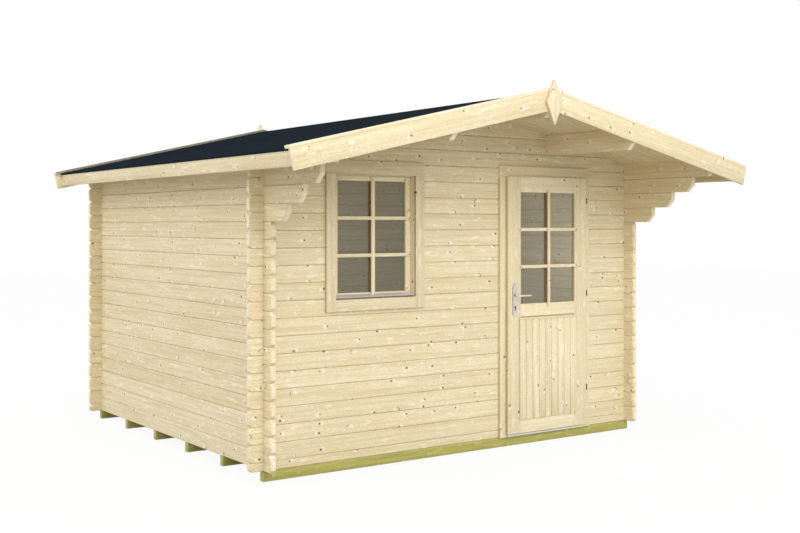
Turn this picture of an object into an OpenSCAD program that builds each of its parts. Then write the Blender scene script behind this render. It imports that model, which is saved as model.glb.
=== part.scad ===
// Garden cabin of interlocking wall logs, with a front canopy, one window and
// one half-glazed door.  Millimetres.  X runs across the front, Y from the
// front to the rear and Z up.  The origin is on the ground, midway between the
// eaves and midway between the two finials.

/* [Walls] */
// Width over the outer faces of the two side walls
wall_w = 3315; // [3200:5:3600]
// Depth over the outer faces of the front and rear walls
wall_d = 2920; // [2700:5:3300]
// Thickness of a wall log
log_t = 40; // [34:1:44]
// Height of one wall log
log_h = 114; // [112:1:118]
// Number of logs in a side wall
side_logs = 18; // [18:1:19]
// How far the crossed log ends stand out at a corner
log_end = 100; // [80:5:120]

/* [Roof] */
// Slope of the roof in degrees
pitch = 13; // [10:1:16]
// Thickness of the roof boards
board_t = 19; // [16:1:22]
// Thickness of the roofing felt
felt_t = 4; // [3:1:5]
// Roof overhang in front of the front wall
canopy = 892; // [850:1:920]
// Roof overhang behind the rear wall
rear_overhang = 200; // [150:5:260]
// Distance from a side wall's outer face to the outside of its eave board
eave_overhang = 265; // [200:5:300]
// Width of a bargeboard, from its lower to its upper edge
barge_h = 126; // [110:1:140]
// Height of a purlin on its centre line
purlin_h = 150; // [130:1:160]
// Distance of the two middle purlins from the ridge
purlin_x = 790; // [700:5:850]
// Width of the pointed board on each gable
finial_w = 140; // [110:5:160]
// Height of the pointed board on each gable
finial_h = 296; // [250:2:320]

/* [Foundation] */
// Height of a foundation joist
joist_h = 70; // [60:1:90]
// Width of a foundation joist
joist_w = 45; // [40:1:60]
// Thickness of the floor boards
floor_t = 19; // [16:1:26]

/* [Door] */
// Sideways place of the door's centre line
door_x = 754; // [700:1:800]
// Width of the door leaf over its lips
leaf_w = 799; // [760:1:820]
// Top edge of the door leaf above the foundation joists
leaf_top = 1935; // [1900:1:1950]
// Width of the door's glazed hole
door_glass_w = 547; // [500:1:560]
// Lower edge of the door's glazed hole above the joists
door_glass_low = 985; // [940:1:1000]
// Upper edge of the door's glazed hole above the joists
door_glass_high = 1818; // [1780:1:1830]
// Opening angle shown, in degrees
door_angle = 0; // [0:5:110]

/* [Window] */
// Sideways place of the window's centre line
window_x = -795; // [-850:5:-750]
// Clear width between the window's outer casing boards
window_w = 656; // [600:2:700]
// Lower edge of the clear opening above the joists
window_low = 1075; // [1000:1:1100]
// Upper edge of the clear opening above the joists
window_high = 1916; // [1880:1:1925]

/* [Hidden] */
JOISTS = 6;

$fn = 32;
gap = 0.5;                 // seating gap where sloped or slotted pieces meet
over = 1;                  // how far a cutting shape runs past what it cuts
front = -1;                // sign of Y at the front
rear = 1;
left = -1;                 // sign of X on the left
right = 1;

// The roof's slope, and what one unit of thickness measures upright.
slope = tan(pitch);
upright = 1 / cos(pitch);

barge_t = 20;
finial_t = 20;
strip_t = 20;
strip_d = 60;
length = canopy + wall_d + rear_overhang + 2 * (barge_t + finial_t);
y_front = canopy + barge_t + finial_t - length / 2;
y_rear = y_front + wall_d;
roof_front = y_front - canopy;
roof_rear = y_rear + rear_overhang;
x_out = wall_w / 2;
x_in = x_out - log_t;
z_logs = joist_h;
wall_top = z_logs + side_logs * log_h;
ridge_z = wall_top + x_out * slope;
eave_x = x_out + eave_overhang;
felt_edge = 3;
eave_board_t = 18;
eave_board_h = 85;
barge_low = board_t + felt_t - barge_h;
barge_out = 28;            // how far a bargeboard runs on past the roof boards
barge_x = eave_x + barge_out;

// Corbelled log ends under the canopy: reach of each step and its chamfer.
corbel_reach = [300, 500, 700];
corbel_cut = log_h / 2;
plate_cut = 45;
purlin_t = 40;
purlin_cut = 50;

// Pointed boards: how far their middle is below the ridge, and half a blunt tip.
finial_drop = 55;
finial_tip = 6;

// Door: the lip laps the frame, and the body of the leaf sits inside it.
casing_t = 20;
jamb_t = 30;
inner_trim_t = 16;
inner_trim_w = 45;
door_inside = log_t + 20;
lip = 18;
lap = 12;
play = 5;
leaf_low = 22;
lip_t = 20;
leaf_t = 42;
leaf_front = y_front - casing_t - play - lip_t;
leaf_back = leaf_front + leaf_t;
door_clear = leaf_w / 2 - lap;
head_z = z_logs + leaf_top - lap;
door_cut_top = head_z + jamb_t;
casing_side = 67;
casing_top = 88;
threshold_t = 16;
threshold_out = 30;
door_glass_y = leaf_front + leaf_t / 2;
glass_t = 4;

// Hinges: lift-off barrels with their pins on the frame half.
hinge_out = 9;             // pin axis from the leaf's edge and from its face
hinge_x = door_x + leaf_w / 2 + hinge_out;
hinge_y = leaf_front + hinge_out;
hinge_heights = [311, 1043, 1761];
barrel_r = 7;
barrel_h = 22;
barrel_gap = 1;            // between the two barrels of a hinge
pin_h = 18;
pin_r = 3.5;
pin_play = 0.08;
arm_r = 4;

// Handle: spindle through the leaf, a plate and a lever on each side.
handle_x = door_x - 332;
handle_z = z_logs + 1051;
plate_w = 44;
plate_h = 238;
plate_t = 6;
plate_z = z_logs + 1017;
key_z = z_logs + 958;
key_r = 8;
spindle_r = 4;
spindle_play = 1;
lever_play = 1;            // between the lever's neck and the plate
lever_out = 50;
lever_r = 6;
lever_l = 120;
neck_r = 9;

// Window: frame in the wall, with its sash set back to the inner face.
window_casing_side = 74;
window_casing_top = 93;
window_casing_low = 78;
window_frame_t = 30;
window_lip = 6;
sash_y = y_front + 37;
sash_t = 40;
sash_play = 2;
sash_side = 40;
sash_low = 31;
sash_high = 33;
sash_glass_in = 18;        // pane behind the sash's outer face
window_half = window_w / 2 - window_lip;
window_in_low = z_logs + window_low + window_lip;
window_in_high = z_logs + window_high - window_lip;
sash_half = window_half - sash_play;
pane_low = window_in_low + sash_play + sash_low;
pane_high = window_in_high - sash_play - sash_high;
window_cut_low = window_in_low - window_frame_t;
sill_strip_out = 6;        // nose of the metal strip in front of the wall, and its thickness there
sill_strip_rise = 25;

wood = [0.93, 0.86, 0.68];
wood_shade = [0.86, 0.78, 0.59];
green_wood = [0.68, 0.67, 0.38];
felt_colour = [0.13, 0.17, 0.22];
steel = [0.75, 0.76, 0.79];
dark_steel = [0.2, 0.17, 0.13];
pane = [0.6, 0.65, 0.65, 0.4];

// Height of the underside of the roof boards at a distance x from the ridge.
function roof_z(x) = ridge_z - abs(x) * slope;

// Extrude an outline drawn in X and Z from y0 to y1.
module along_y(y0, y1) {
    translate([0, y1, 0]) rotate([90, 0, 0]) linear_extrude(y1 - y0) children();
}

// Extrude an outline drawn in Y and Z from x0 to x1.
module along_x(x0, x1) {
    translate([x0, 0, 0]) rotate([90, 0, 90]) linear_extrude(x1 - x0) children();
}

// A block between two opposite corners.
module block(low, high) {
    translate(low) cube(high - low);
}

// Band that follows the roof on one side, between two heights above the
// underside of the boards, from x0 to x1, cut upright at both ends.
module roof_band(side, x0, x1, low, high) {
    polygon([
        [side * x0, roof_z(x0) + low * upright],
        [side * x1, roof_z(x1) + low * upright],
        [side * x1, roof_z(x1) + high * upright],
        [side * x0, roof_z(x0) + high * upright]
    ]);
}

// As roof_band, but cut square to the slope at its outer end.
module verge_band(side, x1, low, high) {
    lean = (high - low) * sin(pitch);
    polygon([
        [0, ridge_z + low * upright],
        [side * x1, roof_z(x1) + low * upright],
        [side * (x1 + lean), roof_z(x1) + low * upright + (high - low) * cos(pitch)],
        [0, ridge_z + high * upright]
    ]);
}

// A rectangular ring seen from the front: an outer and an inner rectangle
// given as [left, low, right, high].
module ring(outer, inner) {
    difference() {
        translate([outer[0], outer[1]]) square([outer[2] - outer[0], outer[3] - outer[1]]);
        translate([inner[0], inner[1]]) square([inner[2] - inner[0], inner[3] - inner[1]]);
    }
}

// ---- Foundation ----

module joist(i) {
    y = y_front + (i - 1) * (wall_d - joist_w) / (JOISTS - 1);
    color(green_wood) block([-x_out, y, 0], [x_out, y + joist_w, joist_h]);
}

module floor_boards() {
    color(wood_shade) block([-x_in, y_front + log_t, z_logs], [x_in, y_rear - log_t, z_logs + floor_t]);
}

// ---- Log walls ----

// Outline of a side wall seen from the side, with the stepped corbels that
// carry the canopy and the plate log that runs from bargeboard to bargeboard.
module side_outline() {
    c = corbel_cut;
    z = [for (i = [side_logs - 4:side_logs]) z_logs + i * log_h];
    r = [for (reach = corbel_reach) y_front - reach];
    polygon([
        [y_front - log_end, z_logs], [y_front - log_end, z[0]],
        [r[0] + c, z[0]], [r[0], z[0] + c], [r[0], z[1]],
        [r[1] + c, z[1]], [r[1], z[1] + c], [r[1], z[2]],
        [r[2] + c, z[2]], [r[2], z[2] + c], [r[2], z[3]],
        [roof_front + plate_cut, z[3]], [roof_front, z[3] + plate_cut], [roof_front, ridge_z],
        [roof_rear, ridge_z], [roof_rear, z[3] + plate_cut], [roof_rear - plate_cut, z[3]],
        [y_rear + log_end, z[3]], [y_rear + log_end, z_logs]
    ]);
}

module side_wall(side) {
    color(wood) intersection() {
        along_x(min(side * x_in, side * x_out), max(side * x_in, side * x_out)) side_outline();
        along_y(roof_front - over, roof_rear + over) polygon([
            [side * x_in, 0], [side * x_out, 0],
            [side * x_out, roof_z(x_out) - gap], [side * x_in, roof_z(x_in) - gap]
        ]);
    }
}

// Crossed ends of the front or rear wall's logs, outside a side wall.
module log_ends(side, y0) {
    x1 = x_out + log_end;
    along_y(y0, y0 + log_t) polygon([
        [side * x_out, z_logs], [side * x1, z_logs],
        [side * x1, roof_z(x1) - gap], [side * x_out, roof_z(x_out) - gap]
    ]);
}

door_cut_left = door_x - door_clear - jamb_t;
door_cut_right = door_x + door_clear + jamb_t;
window_cut_left = window_x - window_half - window_frame_t;
window_cut_right = window_x + window_half + window_frame_t;

module front_block(x0, x1, z0, z1) {
    block([x0, y_front, z0], [x1, y_front + log_t, z1]);
}

module front_wall_left() {
    color(wood) {
        front_block(-x_in, window_cut_left, z_logs, door_cut_top);
        log_ends(left, y_front);
    }
}

module front_wall_under_window() {
    color(wood) front_block(window_cut_left, window_cut_right, z_logs, window_cut_low);
}

module front_wall_middle() {
    color(wood) front_block(window_cut_right, door_cut_left, z_logs, door_cut_top);
}

module front_wall_right() {
    color(wood) {
        front_block(door_cut_right, x_in, z_logs, door_cut_top);
        log_ends(right, y_front);
    }
}

// A gable wall from z0 up to the roof, slotted for the three purlins.
module gable(y0, z0) {
    along_y(y0, y0 + log_t) difference() {
        polygon([
            [-x_in, z0], [x_in, z0], [x_in, roof_z(x_in) - gap],
            [0, ridge_z - gap], [-x_in, roof_z(x_in) - gap]
        ]);
        for (x = [-purlin_x, 0, purlin_x])
            translate([x - purlin_t / 2 - gap, roof_z(x) - purlin_h - gap])
                square([purlin_t + 2 * gap, ridge_z]);
    }
}

module front_gable() {
    color(wood) gable(y_front, door_cut_top);
}

module rear_wall() {
    color(wood) {
        gable(y_rear - log_t, z_logs);
        log_ends(left, y_rear - log_t);
        log_ends(right, y_rear - log_t);
    }
}

// ---- Roof ----

// A purlin from bargeboard to bargeboard, bevelled to the roof on top and
// chamfered below at both ends.
module purlin(x) {
    z0 = roof_z(x) - purlin_h;
    t = purlin_t / 2;
    color(wood) intersection() {
        along_y(roof_front, roof_rear) polygon(concat(
            [[x - t, z0], [x + t, z0], [x + t, roof_z(x + t) - gap]],
            x == 0 ? [[0, ridge_z - gap]] : [],
            [[x - t, roof_z(x - t) - gap]]
        ));
        along_x(x - t, x + t) polygon([
            [roof_front + purlin_cut, z0], [roof_front, z0 + purlin_cut], [roof_front, ridge_z],
            [roof_rear, ridge_z], [roof_rear, z0 + purlin_cut], [roof_rear - purlin_cut, z0]
        ]);
    }
}

module roof_boards(side) {
    color(wood_shade) along_y(roof_front, roof_rear) roof_band(side, 0, eave_x, 0, board_t);
}

// Felt over the ridge and down both slopes, folded down over the lower edges.
module roof_felt() {
    low = board_t * upright;
    high = (board_t + felt_t) * upright;
    x1 = eave_x + felt_edge;
    outline = [
        [eave_x, roof_z(eave_x) + low], [eave_x, roof_z(eave_x)],
        [x1, roof_z(eave_x)], [x1, roof_z(x1) + high]
    ];
    color(felt_colour) along_y(roof_front, roof_rear) polygon(concat(
        [[0, ridge_z + low]], outline, [[0, ridge_z + high]],
        [for (i = [len(outline) - 1:-1:0]) [-outline[i][0], outline[i][1]]]
    ));
}

module eave_board(side) {
    x0 = eave_x - eave_board_t;
    z0 = roof_z(eave_x) - eave_board_h;
    color(wood) along_y(roof_front, roof_rear) polygon([
        [side * x0, z0], [side * eave_x, z0],
        [side * eave_x, roof_z(eave_x) - gap], [side * x0, roof_z(x0) - gap]
    ]);
}

// Inner and outer face of what is fixed on a gable end of the roof.
function gable_end(end, inner, outer) = end == front
    ? [roof_front - outer, roof_front - inner]
    : [roof_rear + inner, roof_rear + outer];

module bargeboard(end, side) {
    y = gable_end(end, 0, barge_t);
    color(wood) along_y(y[0], y[1]) verge_band(side, barge_x, barge_low, barge_low + barge_h);
}

// Strips laid on the edge of the felt and the top of two bargeboards.
module verge_strips(end) {
    y = gable_end(end, barge_t - strip_d, barge_t);
    x1 = barge_x + barge_h * sin(pitch);
    low = board_t + felt_t;
    color(wood) along_y(y[0], y[1]) union() {
        verge_band(left, x1, low, low + strip_t);
        verge_band(right, x1, low, low + strip_t);
    }
}

module finial(end) {
    y = gable_end(end, barge_t, barge_t + finial_t);
    mid = ridge_z - finial_drop;
    tip = finial_tip;
    color(wood) along_y(y[0], y[1]) polygon([
        [-tip, mid - finial_h / 2], [tip, mid - finial_h / 2], [finial_w / 2, mid],
        [tip, mid + finial_h / 2], [-tip, mid + finial_h / 2], [-finial_w / 2, mid]
    ]);
}

// ---- Window ----

module window_casing() {
    w = window_w / 2;
    low = z_logs + window_low;
    high = z_logs + window_high;
    color(wood) along_y(y_front - casing_t, y_front) translate([window_x, 0]) ring(
        [-w - window_casing_side, low - window_casing_low, w + window_casing_side, high + window_casing_top],
        [-w, low, w, high]);
}

// Trim inside the wall, over the joint round a frame with the outline
// [left, low, right, high]; foot is how wide it is below the frame.
module inner_trim(frame, foot) {
    w = inner_trim_w;
    along_y(y_front + log_t, y_front + log_t + inner_trim_t) ring(
        [frame[0] - w, frame[1] - foot, frame[2] + w, frame[3] + w],
        [frame[0] - gap, frame[1] - gap, frame[2] + gap, frame[3] + gap]);
}

module window_frame() {
    w = window_half;
    outline = [-w - window_frame_t, window_cut_low, w + window_frame_t, door_cut_top];
    color(wood) translate([window_x, 0, 0]) {
        along_y(y_front, sash_y + sash_t) ring(outline, [-w, window_in_low, w, window_in_high]);
        inner_trim(outline, inner_trim_w);
    }
}

module window_sash() {
    w = sash_half;
    color(wood) along_y(sash_y, sash_y + sash_t) translate([window_x, 0]) ring(
        [-w, window_in_low + sash_play, w, window_in_high - sash_play],
        [-w + sash_side, pane_low, w - sash_side, pane_high]);
}

module window_glass() {
    w = sash_half - sash_side;
    y0 = sash_y + sash_glass_in;
    color(pane) block([window_x - w, y0, pane_low], [window_x + w, y0 + glass_t, pane_high]);
}

// Sloped metal strip that sheds water from the sash.
module window_sill_strip() {
    z0 = window_in_low;
    y0 = y_front - sill_strip_out;
    color(steel) along_x(window_x - window_half, window_x + window_half) polygon([
        [y0, z0], [sash_y, z0], [sash_y, z0 + sill_strip_rise], [y0, z0 + sill_strip_out]
    ]);
}

// ---- Door frame ----

module door_casing() {
    w = door_clear;
    color(wood) along_y(y_front - casing_t, y_front) translate([door_x, 0]) ring(
        [-w - casing_side, z_logs, w + casing_side, head_z + casing_top],
        [-w, z_logs - over, w, head_z]);
}

// Jambs, head and sill, with the trim inside.
module door_frame() {
    w = door_clear;
    floor_z = z_logs + floor_t;
    outline = [-w - jamb_t, floor_z, w + jamb_t, door_cut_top];
    color(wood) translate([door_x, 0, 0]) {
        union() {
            along_y(y_front, y_front + door_inside) ring(outline, [-w, z_logs, w, head_z]);
            block([-w - jamb_t, y_front, z_logs], [w + jamb_t, y_front + log_t, floor_z]);
        }
        inner_trim(outline, 0);
    }
}

module door_threshold() {
    color(steel) block(
        [door_x - door_clear, y_front - threshold_out, z_logs],
        [door_x + door_clear, y_front, z_logs + threshold_t]);
}

// Lower half of each hinge, with its pin, held by an arm on the casing.
module frame_hinges() {
    color(dark_steel) for (h = hinge_heights) translate([hinge_x, hinge_y, z_logs + h]) {
        translate([0, 0, -barrel_h]) cylinder(r = barrel_r, h = barrel_h);
        cylinder(r = pin_r, h = pin_h);
        translate([0, 0, -barrel_h / 2]) rotate([-90, 0, 0])
            cylinder(r = arm_r, h = y_front - casing_t - hinge_y);
    }
}

// ---- Door leaf ----

// Turn the leaf and what it carries about the hinge axis.
module hung() {
    translate([hinge_x, hinge_y, 0]) rotate([0, 0, door_angle]) translate([-hinge_x, -hinge_y, 0]) children();
}

// One layer of the leaf, with the glazed hole through it.
module leaf_slab(half, top, y0, y1) {
    along_y(y0, y1) translate([door_x, 0]) difference() {
        translate([-half, z_logs + leaf_low]) square([2 * half, top - leaf_low]);
        translate([-door_glass_w / 2, z_logs + door_glass_low])
            square([door_glass_w, door_glass_high - door_glass_low]);
    }
}

module door_leaf() {
    color(wood) hung() difference() {
        union() {
            leaf_slab(leaf_w / 2, leaf_top, leaf_front, leaf_front + lip_t);
            leaf_slab(leaf_w / 2 - lip, leaf_top - lip, leaf_front + lip_t, leaf_back);
        }
        translate([handle_x, leaf_front - over, handle_z]) rotate([-90, 0, 0])
            cylinder(r = spindle_r + spindle_play, h = leaf_t + 2 * over);
    }
}

module door_glass() {
    w = door_glass_w / 2;
    color(pane) hung() block(
        [door_x - w, door_glass_y, z_logs + door_glass_low],
        [door_x + w, door_glass_y + glass_t, z_logs + door_glass_high]);
}

// Round-ended plate, with holes for the spindle and the key.
module plate(y0, y1) {
    r = plate_w / 2;
    difference() {
        along_y(y0, y1) union() {
            translate([handle_x - r, plate_z - plate_h / 2 + r]) square([plate_w, plate_h - plate_w]);
            for (s = [-1, 1]) translate([handle_x, plate_z + s * (plate_h / 2 - r)]) circle(r = r);
        }
        for (hole = [[handle_z, spindle_r + spindle_play], [key_z, key_r]])
            translate([handle_x, y0 - over, hole[0]]) rotate([-90, 0, 0])
                cylinder(r = hole[1], h = y1 - y0 + 2 * over);
    }
}

module handle_plates() {
    color(steel) hung() {
        plate(leaf_front - plate_t, leaf_front);
        plate(leaf_back, leaf_back + plate_t);
    }
}

// Upper half of each hinge: a barrel that drops over the pin, with its arm.
module leaf_hinges() {
    color(dark_steel) hung() for (h = hinge_heights) translate([hinge_x, hinge_y, z_logs + h]) difference() {
        translate([0, 0, barrel_gap]) {
            cylinder(r = barrel_r, h = barrel_h);
            translate([-hinge_out, 0, barrel_h / 2]) rotate([0, 90, 0]) cylinder(r = arm_r, h = hinge_out);
        }
        cylinder(r = pin_r + pin_play, h = pin_h + 2 * over);
    }
}

// Spindle with a lever on each side of the leaf, both pointing to the hinges.
module door_lever() {
    y0 = leaf_front - plate_t - lever_play;
    y1 = leaf_back + plate_t + lever_play;
    color(steel) hung() translate([handle_x, 0, handle_z]) {
        translate([0, y0 - lever_out, 0]) rotate([-90, 0, 0]) cylinder(r = neck_r, h = lever_out);
        translate([0, y1, 0]) rotate([-90, 0, 0]) cylinder(r = neck_r, h = lever_out);
        translate([0, y0 - over, 0]) rotate([-90, 0, 0]) cylinder(r = spindle_r, h = y1 - y0 + 2 * over);
        for (y = [y0 - lever_out + lever_r, y1 + lever_out - lever_r])
            translate([0, y, 0]) rotate([0, 90, 0]) cylinder(r = lever_r, h = lever_l);
    }
}

// ---- The nodes ----

for (i = [1:JOISTS]) joist(i);
floor_boards();  // floor
side_wall(left);  // left_wall
side_wall(right);  // right_wall
rear_wall();
front_wall_left();
front_wall_under_window();
front_wall_middle();
front_wall_right();
front_gable();
purlin(0);  // ridge_purlin
purlin(-purlin_x);  // left_purlin
purlin(purlin_x);  // right_purlin
roof_boards(left);  // left_roof_boards
roof_boards(right);  // right_roof_boards
roof_felt();
eave_board(left);  // left_eave_board
eave_board(right);  // right_eave_board
bargeboard(front, left);  // front_left_bargeboard
bargeboard(front, right);  // front_right_bargeboard
bargeboard(rear, left);  // rear_left_bargeboard
bargeboard(rear, right);  // rear_right_bargeboard
verge_strips(front);  // front_verge_strips
verge_strips(rear);  // rear_verge_strips
finial(front);  // front_finial
finial(rear);  // rear_finial
window_casing();
window_frame();
window_sash();
window_glass();
window_sill_strip();
door_casing();
door_frame();
door_threshold();
frame_hinges();
door_leaf();
door_glass();
handle_plates();
leaf_hinges();
door_lever();
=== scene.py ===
# %% [markdown]
# # A log cabin, finished board by board
#
# The cabin's construction is already there as plain solids at their real size: walls, beams,
# frames, hinges. This notebook keeps their places and gives the cabin its looks. Each wall is
# stacked again from single logs, each frame is joined from single boards, and every board
# carries its own place along the grain, so that the wood's pattern follows it.

# %% Load the frame
import math
import random
from contextlib import contextmanager

import bmesh
import bpy
import numpy as np
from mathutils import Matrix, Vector


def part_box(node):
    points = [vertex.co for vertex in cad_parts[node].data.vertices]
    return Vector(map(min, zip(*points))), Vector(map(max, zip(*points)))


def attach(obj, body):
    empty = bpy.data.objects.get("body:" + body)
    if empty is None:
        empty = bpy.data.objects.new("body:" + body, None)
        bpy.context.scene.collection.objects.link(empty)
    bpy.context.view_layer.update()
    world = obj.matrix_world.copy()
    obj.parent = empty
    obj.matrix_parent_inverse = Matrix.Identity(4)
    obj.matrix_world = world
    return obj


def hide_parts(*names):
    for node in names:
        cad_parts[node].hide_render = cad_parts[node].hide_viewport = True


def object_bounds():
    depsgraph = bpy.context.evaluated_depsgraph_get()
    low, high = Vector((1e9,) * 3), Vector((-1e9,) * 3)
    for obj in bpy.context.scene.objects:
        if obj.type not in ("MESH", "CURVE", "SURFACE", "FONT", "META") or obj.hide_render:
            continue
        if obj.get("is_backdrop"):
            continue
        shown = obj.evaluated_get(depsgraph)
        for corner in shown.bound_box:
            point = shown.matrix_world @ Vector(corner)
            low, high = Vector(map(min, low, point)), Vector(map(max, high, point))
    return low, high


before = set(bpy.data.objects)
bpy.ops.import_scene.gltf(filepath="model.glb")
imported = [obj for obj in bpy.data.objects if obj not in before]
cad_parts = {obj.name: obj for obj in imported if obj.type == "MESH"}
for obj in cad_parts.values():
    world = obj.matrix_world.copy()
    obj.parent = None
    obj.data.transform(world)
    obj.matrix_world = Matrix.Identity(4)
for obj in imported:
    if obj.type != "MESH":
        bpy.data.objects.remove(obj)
cad_low, cad_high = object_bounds()
print("The cabin is", [round(side, 3) for side in cad_high - cad_low], "m")

# %% [markdown]
# ## Places that the frame gives
#
# Every size that the construction holds is read from it. Only what the plain solids don't show,
# such as the height of a single log, is named here. Two small plays keep pieces apart: SEAT
# between logs that lie on each other, and HAIR wherever else two pieces meet.

# %% Places of the walls and the roof
X, Y, Z = 0, 1, 2
SIDES = (-1, 1)
LOG = 0.114
SEAT = 0.0008
HAIR = 0.0005
PITCH = math.radians(13)
SLOPE = math.tan(PITCH)


def spans(node):
    """From where to where a solid reaches along X, Y and Z."""
    return list(zip(*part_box(node)))


INNER_X, OUTER_X = spans("right_wall")[X]
ROOF_Y = ROOF_FRONT, ROOF_REAR = spans("right_wall")[Y]
LOG_Z = spans("right_wall")[Z][0]
THICK = OUTER_X - INNER_X
FRONT_Y = spans("front_wall_middle")[Y][0]
REAR_Y = spans("rear_wall")[Y][1]
END_X = spans("rear_wall")[X][1]
LOG_END = END_X - OUTER_X
EAVE_X = spans("right_roof_boards")[X][1]
RIDGE_Z = spans("right_roof_boards")[Z][0] + EAVE_X * SLOPE


def roof_z(x):
    """Height of the underside of the roof boards at a distance x from the ridge."""
    return RIDGE_Z - abs(x) * SLOPE


print(f"Ridge at {RIDGE_Z:.3f} m, eaves at {roof_z(EAVE_X):.3f} m, logs {LOG * 1000:.0f} mm high")

# %% [markdown]
# ## Helpers for modelling
#
# An operator works on whatever is selected, so each helper first selects just its own object,
# and corners, edges and faces are then chosen by where they are and which way they point.


# %% Select, edit and pick
def only(o):
    """Make one object the selected and active one."""
    bpy.ops.object.select_all(action="DESELECT")
    o.select_set(True)
    bpy.context.view_layer.objects.active = o


def settled(name=None):
    """Move the active object's place, turn and size into its mesh, and name it."""
    bpy.ops.object.transform_apply(location=True, rotation=True, scale=True)
    o = bpy.context.object
    o.name = name or o.name
    return o


@contextmanager
def editing(o):
    """Open an object in edit mode with nothing selected, and close it afterwards."""
    only(o)
    bpy.ops.object.mode_set(mode="EDIT")
    bpy.ops.mesh.select_all(action="DESELECT")
    yield
    bpy.ops.object.mode_set(mode="OBJECT")


def pick(kind, test):
    """In edit mode, select the corners, edges or faces that pass test(middle, direction)."""
    bpy.ops.mesh.select_mode(type=kind)
    bpy.ops.mesh.select_all(action="DESELECT")
    mesh = bmesh.from_edit_mesh(bpy.context.object.data)
    for part in {"VERT": mesh.verts, "EDGE": mesh.edges, "FACE": mesh.faces}[kind]:
        if kind == "FACE":
            middle, direction = part.calc_center_median(), part.normal
        elif kind == "EDGE":
            ends = [v.co for v in part.verts]
            middle, direction = (ends[0] + ends[1]) / 2, (ends[1] - ends[0]).normalized()
        else:
            middle, direction = part.co, part.normal
        if test(middle, direction):
            part.select_set(True)
    bmesh.update_edit_mesh(bpy.context.object.data)


def pull(x, y, z):
    """In edit mode, extrude what is selected and move it."""
    bpy.ops.mesh.extrude_region_move(TRANSFORM_OT_translate={"value": (x, y, z)})


def scored(point, normal):
    """In edit mode, draw a line round the mesh where a plane crosses it."""
    bpy.ops.mesh.select_all(action="SELECT")
    bpy.ops.mesh.bisect(plane_co=point, plane_no=normal)


# %% [markdown]
# Two starts, a block and a rod, and what is done to them: bevel, ease, saw, copy, cut and join.


# %% Start, shape, copy and join
def unit(axis, length=1.0):
    """A vector of a given length along an axis."""
    return Vector([length * (a == axis) for a in range(3)])


def around(middle, half):
    """From where to where a space reaches that lies evenly about its middle."""
    return middle - half, middle + half


def block(name, x, y, z):
    """A cube that fills a space, which is given as (from, to) along each axis."""
    bpy.ops.object.select_all(action="DESELECT")
    low, high = (Vector(corner) for corner in zip(x, y, z))
    bpy.ops.mesh.primitive_cube_add(size=1, location=(low + high) / 2, scale=high - low)
    return settled(name)


def chamfer(o, size, test, rounds=1):
    """Bevel the edges for which test(middle, direction) is true."""
    with editing(o):
        pick("EDGE", test)
        bpy.ops.mesh.bevel(offset=size, segments=rounds, affect="EDGES")


def eased(o, size=0.0015, rounds=2):
    """Take the sharpness off every edge, as a plane or sandpaper does."""
    only(o)
    bpy.ops.object.modifier_add(type="BEVEL")
    bevel = o.modifiers[-1]
    bevel.width, bevel.segments, bevel.limit_method = size, rounds, "ANGLE"
    bpy.ops.object.modifier_apply(modifier=bevel.name)
    return o


def rod(name, radius, x, y, z, sides=32, ease=0.12, turn=0.0):
    """A cylinder along Y; its rims are eased by a share of its radius, and turn is in degrees."""
    bpy.ops.object.select_all(action="DESELECT")
    bpy.ops.mesh.primitive_cylinder_add(
        vertices=sides, radius=radius, depth=y[1] - y[0], location=(x, (y[0] + y[1]) / 2, z),
        rotation=(math.pi / 2, math.radians(turn), 0))
    o = settled(name)
    return eased(o, radius * ease) if ease else o


def sawn(o, point, normal):
    """Saw an object along a plane and keep the part behind it."""
    with editing(o):
        bpy.ops.mesh.select_all(action="SELECT")
        bpy.ops.mesh.bisect(plane_co=point, plane_no=normal, use_fill=True, clear_outer=True)
    return o


def copied(o, shift):
    """A copy with its own mesh, moved by a shift."""
    only(o)
    bpy.ops.object.duplicate()
    bpy.ops.transform.translate(value=shift)
    return settled()


def row(first, count, shift):
    """An object and its copies, each moved on by one more shift."""
    return [first] + [copied(first, [k * way for way in shift]) for k in range(1, count)]


def cut(o, cutter):
    """Take the cutter's space out of an object."""
    only(o)
    bpy.ops.object.modifier_add(type="BOOLEAN")
    saw = o.modifiers[-1]
    saw.operation, saw.solver, saw.object = "DIFFERENCE", "EXACT", cutter
    bpy.ops.object.modifier_apply(modifier=saw.name)
    return o


def carved(cutter, *parts):
    """Take the cutter's space out of each part, and throw the cutter away."""
    for part in parts:
        cut(part, cutter)
    bpy.data.objects.remove(cutter)


def joined(name, parts):
    """Join objects into one."""
    only(parts[0])
    for part in parts:
        part.select_set(True)
    bpy.ops.object.join()
    bpy.context.object.name = name
    return bpy.context.object


# %% [markdown]
# ## Grain that follows each board
#
# A trunk grows in rings, and a board is cut along it. So that a shader can draw rings, streaks
# and knots, each point stores its place on its own board: along the grain, across it and through
# it, in metres. Each board also stores three numbers of chance, which choose its part of the
# pattern and its tone, and each face says whether it is a sawn end, a big oblique cut or the
# narrow edge of a flat board.

# %% Store the grain
CUT_AREA = 0.002
END_LEAN, CUT_LEAN = 0.8, 0.5
FLAT_RATIO, DEEP_SHARE = 1.5, 0.6
chance = random.Random(5)


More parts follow.
